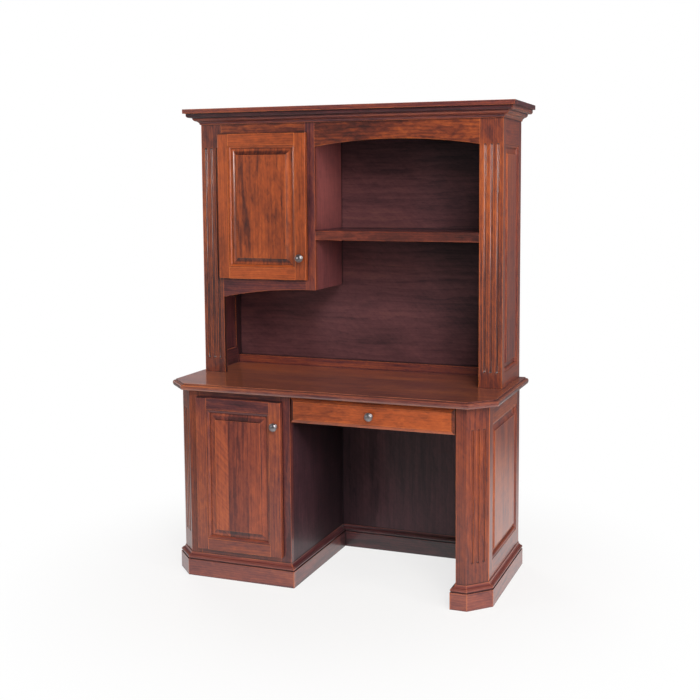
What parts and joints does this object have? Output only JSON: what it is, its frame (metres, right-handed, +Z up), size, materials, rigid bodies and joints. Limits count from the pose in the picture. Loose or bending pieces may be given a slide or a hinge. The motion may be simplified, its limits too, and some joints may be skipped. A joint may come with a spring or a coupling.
{
  "type": "pedestal desk with hutch",
  "caption": "Cherry desk with canted fluted corners, a pedestal door and a wide drawer over the kneehole, under a hutch with a raised panel door, open shelf, arched rails and a crown",
  "frame": {"origin": "bottom centre of the whole object's box, on the floor", "axes": "X runs along the desk to the right seen from the front, the front looks along minus Y, Z is up"},
  "size_m": [1.357, 0.583, 1.825],
  "materials": {
    "cherry": "satin lacquer over red brown stained cherry, grain upright",
    "cherry_rail": "satin lacquer over red brown stained cherry, grain level",
    "cherry_top": "semi gloss lacquer over stained cherry, grain level",
    "cherry_panel": "satin lacquer over figured stained cherry panels",
    "cherry_figured": "satin lacquer over orange figured cherry",
    "inner_wood": "clear lacquered pale hardwood of drawer and shelf",
    "pewter": "aged pewter",
    "steel": "bright zinc plate",
    "pad": "translucent bumper"
  },
  "bodies": {
    "carcass": {"desktop": "cherry_top", "left_post": "cherry", "right_post": "cherry", "end_stiles": "cherry", "end_rails": "cherry_rail", "end_panels": "cherry_panel", "pedestal_rails": "cherry_rail", "pedestal_stile": "cherry", "pedestal_side": "cherry", "pedestal_floor": "cherry_rail", "pedestal_shelf": "inner_wood", "pedestal_pins": "steel", "desk_back": "cherry_rail", "leg_side": "cherry", "stretchers": "cherry_rail", "plinth_boards": "cherry_rail", "plinth_returns": "cherry_rail", "plinth_caps": "cherry_rail", "cap_returns": "cherry_rail", "hinge_leaves": "steel", "door_pads": "pad", "slide_outers": "steel", "hutch_outer_stiles": "cherry", "hutch_mid_stile": "cherry", "hutch_top_rails": "cherry_rail", "hutch_lower_rail": "cherry_rail", "hutch_side_stiles": "cherry", "hutch_side_rails": "cherry_rail", "hutch_side_panels": "cherry_panel", "hutch_partition": "cherry", "cabinet_floor": "cherry_rail", "cabinet_shelf": "inner_wood", "cabinet_pins": "steel", "open_shelf": "cherry_rail", "shelf_edge": "cherry_rail", "hutch_back": "cherry", "hutch_back_rail": "cherry_rail", "cornice_board": "cherry_top", "crown_front": "cherry_rail", "crown_returns": "cherry_rail"},
    "lower_door": {"lower_door_stiles": "cherry", "lower_door_rails": "cherry_rail", "lower_door_panel": "cherry_panel", "lower_door_knob": "pewter", "lower_hinge_pins": "steel"},
    "upper_door": {"upper_door_stiles": "cherry_figured", "upper_door_rails": "cherry_figured", "upper_door_panel": "cherry_panel", "upper_door_knob": "pewter", "upper_hinge_pins": "steel"},
    "drawer": {"drawer_front": "cherry_figured", "drawer_sides": "inner_wood", "drawer_back": "inner_wood", "drawer_bottom": "inner_wood", "drawer_knob": "pewter", "slide_inners": "steel"},
    "left_slide": {"slide_middle_left": "steel"},
    "right_slide": {"slide_middle_right": "steel"}
  },
  "joints": [
    {"name": "lower_door_hinge", "type": "hinge", "parent": "carcass", "child": "lower_door", "pos_m": [-0.5165, -0.257, 0.411], "axis": [0, 0, 1], "range_deg": [-105, 0]},
    {"name": "upper_door_hinge", "type": "hinge", "parent": "carcass", "child": "upper_door", "pos_m": [-0.538, -0.0075, 1.4375], "axis": [0, 0, 1], "range_deg": [-105, 0]},
    {"name": "drawer_slide", "type": "slide", "parent": "carcass", "child": "drawer", "axis": [0, -1, 0], "range_m": [0, 0.36]},
    {"name": "left_slide_run", "type": "slide", "parent": "carcass", "child": "left_slide", "axis": [0, -1, 0], "range_m": [0, 0.18]},
    {"name": "right_slide_run", "type": "slide", "parent": "carcass", "child": "right_slide", "axis": [0, -1, 0], "range_m": [0, 0.18]}
  ],
  "couplings": [
    {"joint": "left_slide_run", "follows": "drawer_slide", "ratio": 0.5},
    {"joint": "right_slide_run", "follows": "drawer_slide", "ratio": 0.5}
  ]
}
